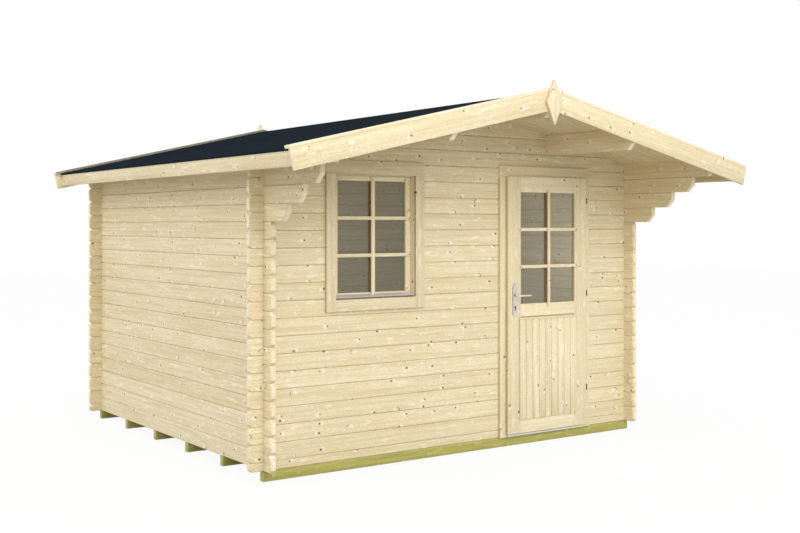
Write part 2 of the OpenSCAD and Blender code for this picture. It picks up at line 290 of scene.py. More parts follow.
def grained(o, along, edges=True):
    """Store each point's place on its board, the board's numbers, its ends, cuts and edges."""
    mesh, along = o.data, Vector(along).normalized()
    count = len(mesh.vertices)
    places = np.empty(count * 3, np.float32)
    mesh.vertices.foreach_get("co", places)
    places = places.reshape(-1, 3)

    def size(way):
        return np.ptp(places @ np.array(way))

    # A board's width is what its front shows, unless it is much deeper than that.
    runs_back = abs(along.y) > 0.9
    side = Vector((1, 0, 0)) if runs_back else Vector((0, 1, 0))
    other = along.cross(side).normalized()
    if size(side) * (1.0 if runs_back else DEEP_SHARE) > size(other):
        across, through = side, other
    else:
        across, through = other, side
    middle = (places.max(0) + places.min(0)) / 2
    ways = np.array([along, across, through], np.float32)
    numbers = [chance.random() for _ in range(3)]
    on_points = {"grain": (places - middle) @ ways.T, "board": np.tile(numbers, (count, 1))}
    for name, values in on_points.items():
        stored = mesh.attributes.new(name, "FLOAT_VECTOR", "POINT")
        stored.data.foreach_set("vector", values.astype(np.float32).ravel())

    # A flat board's narrow edges get a painted shade in the wood shader.
    is_flat = edges and size(across) > FLAT_RATIO * size(through)
    lean = [(abs(face.normal.dot(along)), face) for face in mesh.polygons]
    on_faces = {
        "end": [share > END_LEAN for share, _ in lean],
        "cut": [CUT_LEAN < share < END_LEAN and face.area > CUT_AREA for share, face in lean],
        "edge": [is_flat and abs(face.normal.dot(across)) > END_LEAN for _, face in lean]}
    for name, values in on_faces.items():
        stored = mesh.attributes.new(name, "FLOAT", "FACE")
        stored.data.foreach_set("value", np.array(values, np.float32))
    return o


def board(name, x, y, z, along, ease=0.0015, rounds=2, saw=None):
    """A planed board that fills a space, with its grain along an axis."""
    o = eased(block(name, x, y, z), ease, rounds)
    return grained(cut(o, saw) if saw else o, unit(along))


# %% [markdown]
# ## Shader maths
#
# A pattern is easier to read as a sum than as a web of nodes. `Wire` wraps a socket, and the
# usual signs on it add Math nodes. `Nodes.add` makes every other node.


# %% Wire and Nodes
class Wire:
    """A socket of a node. Sums with it become Math nodes."""

    def __init__(self, nodes, socket):
        self.nodes, self.socket = nodes, socket

    def maths(self, operation, *others):
        return self.nodes.maths(operation, self, *others)

    def output(self, name):
        """Another output of the same node."""
        return Wire(self.nodes, self.socket.node.outputs[name])

    def __add__(self, other):
        return self.maths("ADD", other)

    def __mul__(self, other):
        return self.maths("MULTIPLY", other)

    def __sub__(self, other):
        return self.maths("SUBTRACT", other)

    def __rsub__(self, other):
        return self.nodes.maths("SUBTRACT", other, self)

    def __pow__(self, other):
        return self.maths("POWER", other)

    __radd__, __rmul__ = __add__, __mul__


class Nodes:
    """The node tree of a material or of the world."""

    def __init__(self, owner):
        owner.use_nodes = True
        self.tree = owner.node_tree
        self.tree.nodes.clear()

    def add(self, kind, settings=(), sockets=(), output=0):
        """Add a node: its settings first, then a value or a Wire for each socket."""
        node = self.tree.nodes.new("ShaderNode" + kind)
        for name, value in dict(settings).items():
            setattr(node, name, value)
        for name, value in dict(sockets).items():
            if isinstance(value, Wire):
                self.tree.links.new(value.socket, node.inputs[name])
            else:
                node.inputs[name].default_value = value
        return Wire(self, node.outputs[output]) if node.outputs else None

    def maths(self, operation, *values):
        return self.add("Math", {"operation": operation}, dict(enumerate(values)))

    def vector(self, operation, *values, output=0):
        return self.add("VectorMath", {"operation": operation}, dict(enumerate(values)), output)

    def stored(self, name, output="Fac"):
        """What the mesh stores under a name."""
        return self.add("Attribute", {"attribute_name": name}, output=output)

    def blend(self, share, a, b, mode="MIX"):
        """Colour a, blended with colour b by a share."""
        settings = {"data_type": "RGBA", "blend_type": mode, "clamp_factor": True}
        return self.add("Mix", settings, {0: share, 6: a, 7: b}, output=2)

    def rise(self, value, start, end):
        """0 before start and 1 after end, with a smooth rise between them."""
        sockets = {"Value": value, "From Min": start, "From Max": end}
        return self.add("MapRange", {"interpolation_type": "SMOOTHSTEP"}, sockets)

    def noise(self, place, stretch, detail=2.0, roughness=0.5):
        """Noise in a space that is stretched before it is read."""
        spot = self.vector("MULTIPLY", place, stretch)
        sockets = {"Vector": spot, "Scale": 1.0, "Detail": detail, "Roughness": roughness}
        return self.add("TexNoise", (), sockets)

    def surface(self, sockets, height, depth, strength):
        """Finish a material: a Principled shader with these sockets and a bump."""
        bump = {"Height": height, "Distance": depth, "Strength": strength}
        shader = self.add("BsdfPrincipled", (), sockets | {"Normal": self.add("Bump", (), bump)})
        self.add("OutputMaterial", (), {"Surface": shader})


def material_nodes(name):
    """A new material and its empty node tree."""
    material = bpy.data.materials.new(name)
    return material, Nodes(material)


def tinted(colour, factors, limit=1.0):
    """A colour with its red, green and blue multiplied, each up to a limit."""
    return [min(c * f, limit) for c, f in zip(colour, (*factors, 1))]


# %% [markdown]
# ## Spruce
#
# Planed spruce is pale and low in contrast. Its growth rings show as fine lines that run along
# the board, and they open into long arches where the board is cut near the rings' edge. Its knots
# are scattered with at most one in each cell of a stretched pattern, and a number of chance says
# which cells stay empty.

# %% Knots
BIG_KNOTS, BIG_RADIUS = (0.23, 0.085, 0.0), (0.0045, 0.0080)
PIN_KNOTS, PIN_RADIUS = (0.15, 0.060, 0.0), (0.0020, 0.0042)


def knots(n, place, cell, share, radii):
    """The nearest knot of a pattern: the way to it, its radius, if it is there, and its numbers."""
    spot = n.vector("MULTIPLY", place, (1 / cell[0], 1 / cell[1], 0.0))
    found = n.add("TexVoronoi", {"voronoi_dimensions": "2D"}, {"Vector": spot, "Scale": 1.0})
    away = n.vector("MULTIPLY", n.vector("SUBTRACT", spot, found.output("Position")), cell)
    draw = n.add("SeparateColor", (), {"Color": found.output("Color")})
    there = n.rise(draw, 1 - share, 1 - share + 0.02)
    return away, radii[0] + (radii[1] - radii[0]) * draw.output("Green"), there, draw


def spread(n, away, stretch, shift=(0.0, 0.0, 0.0)):
    """Distance in a stretched space, from a point shifted from the knot."""
    return n.vector("LENGTH", n.vector("MULTIPLY_ADD", away, stretch, shift), output=1)


# %% [markdown]
# Some knots are a dark core with a brown rim, others a torn stroke across the grain, and both have
# a whiter patch beside them: pale wood with a painted highlight. Between them sit small dark specks.
# Sawn ends are brighter than planed faces. Big oblique cuts are brighter too, partly for their cut
# grain and partly as a painted highlight. A flat board's narrow edges are darker: a painted shade.
#
# Rings are drawn as distances from a line inside the trunk, so that faces, edges and sawn ends all
# agree. One function makes every wood of the cabin, because only the colours and the number of
# knots differ: the joinery is more even, the roof boards a little darker, the joists yellow green.
# Two more are for single faces, and both are painted shade: grey for the rear verge strips'
# inner face, and deep brown for the inside bars' faces behind a pane.

# %% Wood
RING = 0.0046
KNOT_BROWN = (0.20, 0.12, 0.035, 1)
RIM_BROWN = (0.56, 0.33, 0.12, 1)
BARK_BROWN = (0.085, 0.052, 0.018, 1)
# Painted shade for the narrow edges of flat boards.
EDGE_SHADE = (0.84, 0.81, 0.72, 1)


def wood(name, pale, dark, knotty=0.36, pins=0.25, contrast=1.0):
    """A planed softwood. knotty and pins are the shares of cells that hold a big or a pin knot."""
    material, n = material_nodes(name)
    grain, numbers = n.stored("grain", "Vector"), n.stored("board", "Vector")
    end, cut_highlight, edge = n.stored("end"), n.stored("cut"), n.stored("edge")
    number = n.add("SeparateXYZ", (), {"Vector": numbers})
    place = n.vector("MULTIPLY_ADD", numbers, (29.0, 13.0, 17.0), grain)
    rough = n.noise(place, (70.0, 110.0, 110.0), 2.0)
    ragged = (rough - 0.5) * 0.005

    # Big knots: a core with its rim, or a torn stroke, and a painted highlight of pale wood on one side of
    # either.
    away, radius, there, draw = knots(n, place, BIG_KNOTS, knotty, BIG_RADIUS)
    blue = draw.output("Blue")
    side = n.rise(blue, 0.49, 0.51) * 2 - 1
    highlight_at = n.add("CombineXYZ", (), {"X": side * 0.012, "Y": blue * 0.014 - 0.007})
    highlight_away = spread(n, away, (0.75, 1.0, 0.0), highlight_at) + ragged * 2.5
    knot_highlight = there * n.rise(highlight_away, 0.0175, 0.008)
    is_core = n.rise((blue * 6).maths("FRACT"), 0.26, 0.30)
    core = spread(n, away, (0.85, 1.0, 0.0)) + ragged * 0.5
    big = there * is_core * n.rise(core, radius * 1.05, radius * 0.75)
    rim = there * is_core * n.rise(core, radius * 1.6, radius * 1.05)
    heart = big * n.rise(core, radius * 0.8, radius * 0.4)
    ring_away = spread(n, away, (0.62, 1.0, 0.0)) + ragged * 1.2
    part = n.add("SeparateXYZ", (), {"Vector": away})
    beyond = n.rise(part * side + part.output("Y") * 0.5, 0.004, 0.009)
    torn = n.rise(n.noise(place, (60.0, 60.0, 60.0), 1.0), 0.38, 0.50)
    arc = n.rise((ring_away - 0.014).maths("ABSOLUTE"), 0.0028, 0.0012)
    stroke = there * (1 - is_core) * beyond * torn * arc

    # Pin knots: small dark specks, most with a little pale wood beside them, painted as a highlight.
    pin_away, pin_radius, pin_there, _ = knots(n, place, PIN_KNOTS, pins, PIN_RADIUS)
    speck = n.rise(spread(n, pin_away, (0.9, 1.0, 0.0)), pin_radius * 1.2, pin_radius * 0.7)
    beside = spread(n, pin_away, (0.5, 1.0, 0.0), (0.003, 0.002, 0.0)) + ragged
    pin, glint = pin_there * speck, pin_there * n.rise(beside, 0.011, 0.004)

    # Growth rings round a wandering pith, swung aside by the knots.
    bent = n.add("SeparateXYZ", (), {"Vector": grain})
    wander = n.noise(place, (0.55, 0.0, 0.0), 1.0) * 0.11 + n.noise(place, (3.0, 9.0, 9.0), 1.0) * 0.006
    swing = there * n.rise(ring_away, radius * 5.0, radius) * 0.012
    across = bent.output("Y") + swing + wander + number.output("Y") * 0.10 - 0.13
    through = bent.output("Z") + number.output("X") * 0.09 + 0.012
    radial = (across ** 2.0 + through ** 2.0) ** 0.5
    ring = ((radial * (2 * math.pi / RING)).maths("SINE") * 0.5 + 0.5) ** 3.0

    # Streaks, fibres, clouds and stains, from long to short.
    streak = n.rise(n.noise(place, (1.3, 46.0, 46.0), 4.0, 0.65), 0.36, 0.66)
    fine = n.noise(place, (9.0, 420.0, 420.0), 2.0)
    cloud = n.rise(n.noise(place, (7.0, 30.0, 30.0), 3.0, 0.6), 0.57, 0.70)
    stain = n.rise(n.noise(place, (4.0, 75.0, 75.0), 3.0, 0.6), 0.60, 0.72)
    mottle = n.rise(rough, 0.36, 0.64)

    # The colour is laid on in coats, each by its own share, and each board has its own tone.
    flat = 1 - end
    bright = tinted(pale, (1.13, 1.14, 1.26), 0.97)
    brown = tinted(dark, (0.90, 0.79, 0.62))
    colour = n.blend(streak * contrast, pale, dark)
    for share, coat in (
            (ring * (0.18 * contrast), brown),
            (fine * 0.27, dark),
            (mottle * (0.32 * contrast), brown),
            (stain * (0.50 * contrast), brown),
            (cloud * 0.58, bright),
            # Painted highlight on the pale wood beside the knots.
            (flat * (knot_highlight * 0.9).maths("MAXIMUM", glint * 0.6), tinted(pale, (1.03, 1.04, 1.20))),
            (flat * stroke * 0.85, KNOT_BROWN),
            (flat * rim * 0.50, RIM_BROWN),
            (flat * big.maths("MAXIMUM", pin * 0.8) * 0.85, KNOT_BROWN),
            (flat * heart * 0.8, BARK_BROWN),
            (end * (0.50 - ring * 0.30), bright),
            # Big oblique cuts: partly their paler cut grain, partly a painted highlight.
            (cut_highlight * 0.65, bright)):
        colour = n.blend(share, colour, coat)
    # Painted shade: the narrow edges of flat boards are darkened.
    colour = n.blend(edge, colour, EDGE_SHADE, "MULTIPLY")
    tone = number.output("Z") * 0.09 + 0.95
    warmth = n.add("CombineXYZ", (), {"X": tone ** 0.8, "Y": tone, "Z": tone ** 1.5})
    colour = n.vector("MULTIPLY", colour, warmth)
    height = ring * -0.3 + fine * 0.5 - big * 0.8 + knot_highlight * 0.3 - stroke * 0.4
    n.surface({"Base Color": colour, "Roughness": 0.62 + streak * 0.12}, height, 0.0006, 0.35)
    return material


PALE = (0.88, 0.79, 0.565, 1)
spruce = wood("planed_spruce", PALE, (0.755, 0.645, 0.405, 1), 0.46, 0.35)
joinery = wood("joinery_spruce", PALE, (0.775, 0.67, 0.43, 1), 0.40, 0.50, 0.9)
boarding = wood("roof_spruce", (0.81, 0.73, 0.515, 1), (0.70, 0.59, 0.37, 1))
# Painted shade: grey for the shaded inner face of the rear verge strips.
strip_shade = wood("shaded_strip_spruce", (0.345, 0.335, 0.29, 1), (0.28, 0.265, 0.215, 1))
# Painted shade: deep brown for the inside bars' faces behind a pane.
bar_shade = wood("shaded_bar_spruce", (0.95, 0.55, 0.24, 1), (0.85, 0.45, 0.18, 1))
treated = wood("treated_softwood", (0.52, 0.50, 0.155, 1), (0.40, 0.375, 0.095, 1), 0.45, 0.4, 1.2)

# %% [markdown]
# ## Felt, metal and glass
#
# Roofing felt is a dark sheet strewn with mineral grains, so its colour and its bump come from
# small cells. The metals are brushed or drawn along their length. The panes are one clear sheet
# each: a plain, partly transparent shader lets lamps through and still mirrors the sky.


# %% The other materials
def felt_finish():
    material, n = material_nodes("mineral_felt")
    place = n.add("TexCoord", output="Object")
    grit = n.add("TexVoronoi", (), {"Vector": place, "Scale": 520.0}, output="Color")
    grey = n.add("SeparateColor", (), {"Color": grit})
    patch = n.noise(place, (2.2, 1.4, 2.2), 4.0, 0.6)
    share = grey * 0.55 + patch * 0.45
    colour = n.blend(share, (0.007, 0.0105, 0.014, 1), (0.0215, 0.030, 0.039, 1))
    sockets = {"Base Color": colour, "Roughness": 0.9 + grey * 0.08, "Specular IOR Level": 0.0}
    n.surface(sockets, grey, 0.0008, 0.5)
    return material


def metal_finish(name, colour, roughness, stretch, metallic=1.0, shine=0.5):
    """A drawn or brushed metal. stretch is large across the strokes and small along them."""
    material, n = material_nodes(name)
    place = n.add("TexCoord", output="Object")
    stroke = n.noise(place, stretch, 3.0, 0.6)
    wear = n.noise(place, (40.0, 40.0, 40.0), 3.0, 0.6)
    tint = n.blend(stroke * 0.5 + wear * 0.3, colour, tinted(colour, (0.82, 0.82, 0.82)))
    rough = roughness + stroke * 0.10 + wear * 0.08
    sockets = {"Base Color": tint, "Metallic": metallic, "Roughness": rough, "Specular IOR Level": shine}
    n.surface(sockets, stroke, 0.0002, 0.3)
    return material


def pane_finish():
    material, n = material_nodes("clear_pane")
    ripple = n.noise(n.add("TexCoord", output="Object"), (3.0, 3.0, 3.0), 1.0)
    sockets = {"Base Color": (0.075, 0.115, 0.120, 1), "Alpha": 0.33, "IOR": 1.5}
    n.surface(sockets | {"Roughness": 0.02 + ripple * 0.03}, ripple, 0.002, 0.05)
    return material


felt = felt_finish()
strip_metal = metal_finish("drawn_strip", (0.74, 0.705, 0.675, 1), 0.5, (4.0, 900.0, 900.0), 0.4)
# Painted shadow: the dark bead under the window's sill strip.
sill_shadow = metal_finish("sill_shadow", (0.20, 0.17, 0.13, 1), 0.8, (60.0, 300.0, 300.0), 0.0, 0.1)
threshold_metal = metal_finish("threshold_strip", (0.80, 0.80, 0.79, 1), 0.5, (4.0, 900.0, 900.0), 0.4)
handle_metal = metal_finish("satin_plate", (0.73, 0.68, 0.655, 1), 0.34, (600.0, 600.0, 30.0))
# The lever's cream colour is partly satin metal and partly a painted reflection of the wood.
lever_satin_and_reflection = metal_finish("satin_lever_and_reflection", (0.95, 0.92, 0.80, 1), 0.34, (30.0, 600.0, 600.0))
dark_metal = metal_finish("dark_metal", (0.034, 0.022, 0.007, 1), 0.6, (300.0, 300.0, 300.0), 0.0, 0.1)
glass = pane_finish()
print("Materials:", ", ".join(m.name for m in bpy.data.materials if m.use_nodes))

# %% [markdown]
# ## Placing a finished piece
#
# A finished piece gets its material and smooth shading up to a corner, rides on a moving body,
# and stands for the plain solids that it replaces. A few pieces show another finish on some of
# their faces, which are chosen by their place and direction.

# %% Place a piece
SMOOTH = math.radians(35)


def placed(o, material, body, slot, *nodes):
    """Give a piece its material, its body and the solids it stands for; slot is not used."""
    o.data.materials.clear()
    o.data.materials.append(material)
    only(o)
    bpy.ops.object.shade_smooth_by_angle(angle=SMOOTH)
    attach(o, body)
    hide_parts(*nodes)
    print(f"{o.name}: {len(o.data.polygons)} faces for {', '.join(nodes)}")
    return o


def faced(o, material, test):
    """Give the faces that pass test(middle, direction) another finish."""
    o.data.materials.append(material)
    for face in o.data.polygons:
        if test(face.center, face.normal):
            face.material_index = len(o.data.materials) - 1


# %% [markdown]
# ## One wall log
#
# A wall log is a planed plank, tongued on top and grooved below, with a small chamfer along both
# faces that makes the fine V line between two logs. Where logs cross at a corner, the free ends
# have larger chamfers. A log is modelled as a block: its ends are bevelled, then the edges of its
# two faces, and the tongue and the groove are an inset that is pulled out or in. The groove is
# a little wider and deeper than the tongue.

# %% Wall log
V_CUT = 0.0042
END_CUT = 0.018
FREE_END = (END_CUT, END_CUT)
TONGUE_SIDE = 0.0095
TONGUE_H = 0.008
GROOVE_PLAY = (0.0005, 0.001)
NEAR = 0.0004


def log(axis, run, through, low, height=LOG, cuts=(FREE_END, FREE_END), tongued=True):
    """A log along an axis. run and through are (from, to); cuts are (lower, upper) at both ends."""
    low, high = low + SEAT, low + height - SEAT
    side = 1 - axis
    x, y = (run, through) if axis == X else (through, run)
    o = block("log", x, y, (low, high))
    for place, sizes in zip(run, cuts):
        for z, size in zip((low, high), sizes):
            if size:
                chamfer(o, size, lambda m, d: (
                    abs(m[axis] - place) + abs(m.z - z) < NEAR and abs(d[side]) > 0.9))
    chamfer(o, V_CUT, lambda m, d: min(abs(m[side] - t) for t in through) < NEAR and abs(d[side]) < 0.1)
    with editing(o):
        pick("FACE", lambda m, d: d.z < -0.99 and abs(m.z - low) < NEAR)
        bpy.ops.mesh.inset(thickness=TONGUE_SIDE - GROOVE_PLAY[0], depth=0)
        pull(0, 0, TONGUE_H + GROOVE_PLAY[1])
        if tongued:
            pick("FACE", lambda m, d: d.z > 0.99 and abs(m.z - high) < NEAR)
            bpy.ops.mesh.inset(thickness=TONGUE_SIDE, depth=0)
            pull(0, 0, TONGUE_H)
    return o


# %% [markdown]
# ## Side walls
#
# Eighteen logs each. The lower ones are all alike, so one is modelled and copied upwards. The
# three above them reach out under the canopy as stepped brackets, each with its lower corner cut
# off. The top one is the plate: it runs from bargeboard to bargeboard and is planed to the slope.

# %% Side walls
SIDE_LOGS = 18
BRACKETS = (0.300, 0.500, 0.700)
BRACKET_CUT = LOG / 2
PLATE_CUT = 0.045
PLANING = 0.01


def planed_to_roof(o, side):
    """Plane the top of a wall down to the underside of the roof boards."""
    return sawn(o, (0, 0, RIDGE_Z - HAIR), (side * math.sin(PITCH), 0, math.cos(PITCH)))


def side_wall(side):
    """All logs of a side wall, from the lowest up."""
    through = sorted((side * INNER_X, side * OUTER_X))
    run = (FRONT_Y - LOG_END, REAR_Y + LOG_END)
    plain = SIDE_LOGS - 1 - len(BRACKETS)
    logs = row(log(Y, run, through, LOG_Z), plain, (0, 0, LOG))
    for k, reach in enumerate(BRACKETS, plain):
        cuts = ((BRACKET_CUT, 0), FREE_END)
        logs.append(log(Y, (FRONT_Y - reach, run[1]), through, LOG_Z + k * LOG, cuts=cuts))
    z = LOG_Z + (SIDE_LOGS - 1) * LOG
    cuts = ((PLATE_CUT, 0), (PLATE_CUT, 0))
    plate = log(Y, ROOF_Y, through, z, roof_z(INNER_X) - z + PLANING, cuts, False)
    return [grained(o, unit(Y)) for o in (*logs, planed_to_roof(plate, side))]


for side, name in zip(SIDES, ("left_wall", "right_wall")):
    logs = side_wall(side)
    for part, some in (("lower", logs[:9]), ("upper", logs[9:])):
        placed(joined(f"{name}_{part}_logs", some), spruce, "cabin", "spruce", name)

# %% [markdown]
# ## Front and rear walls
#
# These walls start with half a log, so that their joints fall between those of the side walls:
# that is what locks the corners. They go on up into the gables, where the saw follows the roof.
# The door, the window, the corner notches and the slots for the purlins are cut out of each log
# with one cutter made of blocks, which reach well past the wall.

# %% Front and rear walls
WINDOW_X = spans("front_wall_under_window")[X]
WINDOW_Z = (spans("front_wall_under_window")[Z][1], spans("front_gable")[Z][0])
DOOR_X = (spans("front_wall_middle")[X][1], spans("front_wall_right")[X][0])
PURLINS = {name: sum(spans(name)[X]) / 2 for name in ("left_purlin", "ridge_purlin", "right_purlin")}
PURLIN_T = spans("ridge_purlin")[X][1] * 2
PURLIN_H = 0.150
PAST = 0.1


def cutter(through, openings):
    """Blocks that take the openings, corner notches and purlin slots out of a wall."""
    deep = (through[0] - PAST / 2, through[1] + PAST / 2)
    top = RIDGE_Z + PAST
    spaces = openings + [(sorted((s * INNER_X, s * OUTER_X)), (0, top)) for s in SIDES]
    for x in PURLINS.values():
        spaces.append((around(x, PURLIN_T / 2 + HAIR), (roof_z(x) - PURLIN_H - HAIR, top)))
    return joined("cutter", [block("space", x, deep, z) for x, z in spaces])


def cross_wall(through, openings):
    """All logs of a gable wall, from the half log at the foot to the top of the gable."""
    run = (-END_X, END_X)
    full = log(X, run, through, LOG_Z + LOG / 2)
    count = math.ceil((RIDGE_Z - LOG_Z - LOG / 2) / LOG)
    logs = [log(X, run, through, LOG_Z, LOG / 2)] + row(full, count, (0, 0, LOG))
    for o in logs:
        if max(v.co.z for v in o.data.vertices) > roof_z(END_X):
            for side in SIDES:
                planed_to_roof(o, side)
    carved(cutter(through, openings), *logs)
    return [grained(o, unit(X)) for o in logs]


front_nodes = ("front_wall_left", "front_wall_middle", "front_wall_right", "front_wall_under_window")
front_openings = [(WINDOW_X, WINDOW_Z), (DOOR_X, (0, WINDOW_Z[1]))]
for end, through, openings, nodes, gable in (
        ("front", (FRONT_Y, FRONT_Y + THICK), front_openings, front_nodes, "front_gable"),
        ("rear", (REAR_Y - THICK, REAR_Y), [], ("rear_wall",), "rear_wall")):
    logs = cross_wall(through, openings)
    for part, some, replaced in (("wall_lower", logs[:9], nodes), ("wall_upper", logs[9:18], nodes),
                                 ("gable", logs[18:], (gable,))):
        placed(joined(f"{end}_{part}_logs", some), spruce, "cabin", "spruce", *replaced)

# %% [markdown]
# ## Foundation joists and floor
#
# The joists are rough sawn and pressure treated, which leaves them yellow green. The floor is
# tongued boards laid across them. One board is modelled with a tongue along one edge and a groove
# along the other, and is copied from wall to wall.

# %% Joists and floor
for number in range(1, 7):
    name = f"joist_{number}"
    joist = board(name + "_timber", *spans(name), X, ease=0.003, rounds=3)
    placed(joist, treated, "cabin", "green_timber", name)

FLOOR_BOARDS = 36
BOARD_V = 0.002
BOARD_TONGUE, BOARD_TONGUE_SIDE = 0.005, 0.0045


def matched(x, y, z, axis, across):
    """A tongued and grooved board along an axis, with a small V along its lower and upper edges."""
    o = block("board", x, y, z)
    chamfer(o, BOARD_V, lambda m, d: abs(d[axis]) > 0.99)
    with editing(o):
        for sign, depth in ((1, BOARD_TONGUE), (-1, -BOARD_TONGUE - HAIR)):
            pick("FACE", lambda m, d: d[across] * sign > 0.99)
            bpy.ops.mesh.inset(thickness=BOARD_TONGUE_SIDE, depth=0)
            pull(*unit(across, sign * depth))
    return o


floor_x, floor_y, floor_z = spans("floor")
step = (floor_x[1] - floor_x[0]) / FLOOR_BOARDS
first = matched((floor_x[0], floor_x[0] + step - HAIR), floor_y, floor_z, Y, X)
laid = row(first, FLOOR_BOARDS, (step, 0, 0))
sawn(laid[-1], unit(X, floor_x[1]), unit(X))
floor = joined("floor_boards", [grained(o, unit(Y)) for o in laid])
placed(floor, boarding, "cabin", "roof_and_floor_boards", "floor")

# %% [markdown]
# ## Purlins
#
# Three purlins carry the roof from one bargeboard to the other. Their tops are planed to the
# slope and their ends are cut off below.

# %% Purlins
PURLIN_CUT, PURLIN_EDGE = 0.050, 0.003
for name, x in PURLINS.items():
    z = roof_z(x) - PURLIN_H
    half = PURLIN_T / 2
    o = block(name + "_beam", around(x, half), ROOF_Y, (z, RIDGE_Z + PLANING))
    chamfer(o, PURLIN_CUT, lambda m, d: abs(m.z - z) < NEAR and abs(d.x) > 0.9)
    for side in SIDES:
        if x == 0 or side * x > 0:
            planed_to_roof(o, side)
    chamfer(o, PURLIN_EDGE, lambda m, d: abs(abs(m.x - x) - half) < NEAR and abs(d.x) < 0.1, rounds=2)
    placed(grained(o, unit(Y)), spruce, "cabin", "spruce", name)

# %% [markdown]
# ## Roof boards
#
# The boards lie across the purlins from the ridge to the eaves; their V joints show as fine lines
# under the canopy. A board is laid flat at ridge height, turned about the ridge and sawn upright
# at both ends, and then copied along the roof.

# %% Roof boards
BOARD_T = (spans("right_roof_boards")[Z][1] - RIDGE_Z) * math.cos(PITCH)
ROOF_BOARDS = 44
OVERLONG = 0.02


def pitched(o, side):
    """Turn what lies flat at the ridge's height down to the slope on one side."""
    only(o)
    bpy.ops.transform.rotate(value=-side * PITCH, orient_axis="Y", center_override=(0, 0, RIDGE_Z))
    return settled()


def down(side):
    """The direction down the slope on one side."""
    return Vector((side * math.cos(PITCH), 0, -math.sin(PITCH)))


for side, name in zip(SIDES, ("left_roof_boards", "right_roof_boards")):
    step = (ROOF_REAR - ROOF_FRONT) / ROOF_BOARDS
    x = sorted((-side * OVERLONG, side * (EAVE_X / math.cos(PITCH) + OVERLONG)))
    flat = matched(x, (ROOF_FRONT, ROOF_FRONT + step - HAIR), (RIDGE_Z, RIDGE_Z + BOARD_T), X, Y)
    first = pitched(flat, side)
    sawn(first, (side * EAVE_X, 0, 0), (side, 0, 0))
    sawn(first, (side * HAIR / 2, 0, 0), (-side, 0, 0))
    laid = row(first, ROOF_BOARDS, (0, step, 0))
    sawn(laid[-1], (0, ROOF_REAR, 0), unit(Y))
    boards = joined(name + "_laid", [grained(o, down(side)) for o in laid])
    placed(boards, boarding, "cabin", "roof_and_floor_boards", name)

# %% [markdown]
# ## Roofing felt
#
# Felt comes in rolls a metre wide. The lowest strip is laid first and folded down over the edge
# of the boards, the next one laps over it, and a last strip is bent over the ridge. Each strip is
# a thin block, turned to the slope like the boards. The last one is laid flat across the ridge,
# given a line along its middle, and its two edges are moved down.

# %% Felt
felt_low, felt_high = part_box("roof_felt")
FELT_T = 0.0013
FELT_W = 1.0
LAP = 0.08
FOLD, FOLD_GAP, EDGE_GAP = 0.015, 0.006, 0.001
CAP = 0.16
run_down = EAVE_X / math.cos(PITCH)
lower_start = run_down + FOLD - FELT_W


def felt_strip(side, start, end, height):
    """A strip of felt from start to end down the slope, lying height above the boards."""
    x = sorted((side * start, side * end))
    z = RIDGE_Z + BOARD_T + height
    return pitched(eased(block("felt", x, ROOF_Y, (z, z + FELT_T)), 0.0006, 1), side)


sheets = []
for side in SIDES:
    sheets.append(felt_strip(side, lower_start, run_down - EDGE_GAP, 0.0))
    sheets.append(felt_strip(side, lower_start + LAP - FELT_W, lower_start + LAP, FELT_T))
    x = sorted((side * (EAVE_X + NEAR), side * felt_high.x))
    fold = block("fold", x, ROOF_Y, (felt_low.z + FOLD_GAP, felt_low.z + BOARD_T + FELT_T))
    sheets.append(eased(fold, 0.0012))
cap_z = RIDGE_Z + (BOARD_T + 2 * FELT_T) / math.cos(PITCH)
cap = block("cap", around(0, CAP), ROOF_Y, (cap_z, cap_z + FELT_T))
with editing(cap):
    scored((0, 0, 0), unit(X))
    pick("FACE", lambda m, d: abs(d.x) > 0.9)
    bpy.ops.transform.translate(value=(0, 0, -CAP * SLOPE))
sheets.append(eased(cap, 0.0004, 1))
placed(joined("roof_felt_strips", sheets), felt, "cabin", "felt", "roof_felt")

# %% [markdown]
# ## Eave boards
#
# They hang plumb under the roof's lower edges, and their tops are planed to the slope.

# %% Eaves
PLANED = 0.002
for side, name in zip(SIDES, ("left_eave_board", "right_eave_board")):
    x, y, z = spans(name)
    o = planed_to_roof(block(name + "_planed", x, y, (z[0], z[1] + PLANING)), side)
    placed(grained(eased(o, PLANED), unit(Y)), boarding, "cabin", "spruce", name)

# %% [markdown]
# ## Bargeboards and verge strips
#
# Planed boards close the gables: laid flat at ridge height, turned to the slope, and sawn upright
# where the two meet. A square strip on top of each holds the edge of the felt down. The rear
# strips' inner face, which shows over the felt from the front, is painted grey: a painted shade.

# %% Bargeboards and strips
BARGE_H = 0.126
STRIP_T = 0.020
FELT_TOP = BOARD_T + 0.004
TOP_OUT = FELT_TOP * math.sin(PITCH)
MITRE = 0.05
barge_run = (spans("front_right_bargeboard")[X][1] - TOP_OUT) / math.cos(PITCH)
strip_run = (spans("front_verge_strips")[X][1] - TOP_OUT - STRIP_T * math.sin(PITCH)) / math.cos(PITCH)


def verge(name, side, y, heights, run, edges):
    """A board along a gable's edge between two heights above the boards' underside."""
    x = sorted((-side * MITRE, side * run))
    o = pitched(block(name, x, y, [RIDGE_Z + height for height in heights]), side)
    sawn(o, (side * HAIR / 2, 0, 0), (-side, 0, 0))
    return grained(eased(o, PLANED), down(side), edges)


